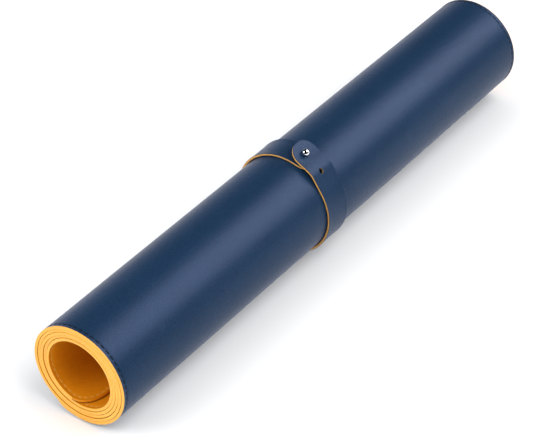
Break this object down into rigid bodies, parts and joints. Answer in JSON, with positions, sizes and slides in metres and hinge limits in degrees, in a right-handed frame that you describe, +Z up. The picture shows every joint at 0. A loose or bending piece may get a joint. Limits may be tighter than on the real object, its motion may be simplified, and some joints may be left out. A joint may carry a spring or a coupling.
{
  "type": "brush roll case",
  "caption": "Rolled two-sided leather-look mat with a sewn edge, used as a brush roll, held closed by a loose strap that buttons over a steel ball stud.",
  "frame": {"origin": "under the middle of the roll, centred across its width, on the surface that it lies on", "axes": "+X runs along the roll from the end whose bore the picture shows to the other end, +Y is towards the side where the strap's lower end comes up, +Z is up"},
  "size_m": [0.432, 0.07, 0.0763],
  "materials": {
    "navy_leather": "fine pebbled leather grain, satin",
    "yellow_leather": "smooth golden yellow leather, satin",
    "backing_cloth": "bonded microfibre cloth",
    "navy_thread": "twisted polyester thread",
    "yellow_thread": "twisted polyester thread",
    "polished_steel": "polished steel"
  },
  "bodies": {
    "roll": {"mat_outer_skin": "navy_leather", "mat_backing": "backing_cloth", "mat_inner_skin": "yellow_leather", "outer_seam_near_edge": "navy_thread", "outer_seam_far_edge": "navy_thread", "outer_seam_free_end": "navy_thread", "outer_seam_bore_end": "navy_thread", "inner_seam_near_edge": "yellow_thread", "inner_seam_far_edge": "yellow_thread", "inner_seam_free_end": "yellow_thread", "inner_seam_bore_end": "yellow_thread"},
    "strap": {"strap_face": "navy_leather", "strap_lining": "yellow_leather", "ball_stud": "polished_steel", "stud_screw": "polished_steel"},
    "tongue": {"tongue_face": "navy_leather", "tongue_lining": "yellow_leather"}
  },
  "joints": [
    {"name": "strap_slide", "type": "slide", "parent": "roll", "child": "strap", "axis": [1, 0, 0], "range_m": [-0.2, 0.2]},
    {"name": "tongue_lift", "type": "hinge", "parent": "strap", "child": "tongue", "pos_m": [-0.0023, -0.02928, 0.05457], "axis": [1, 0, 0], "range_deg": [0, 100], "deforming": ["tongue_face", "tongue_lining"]}
  ]
}
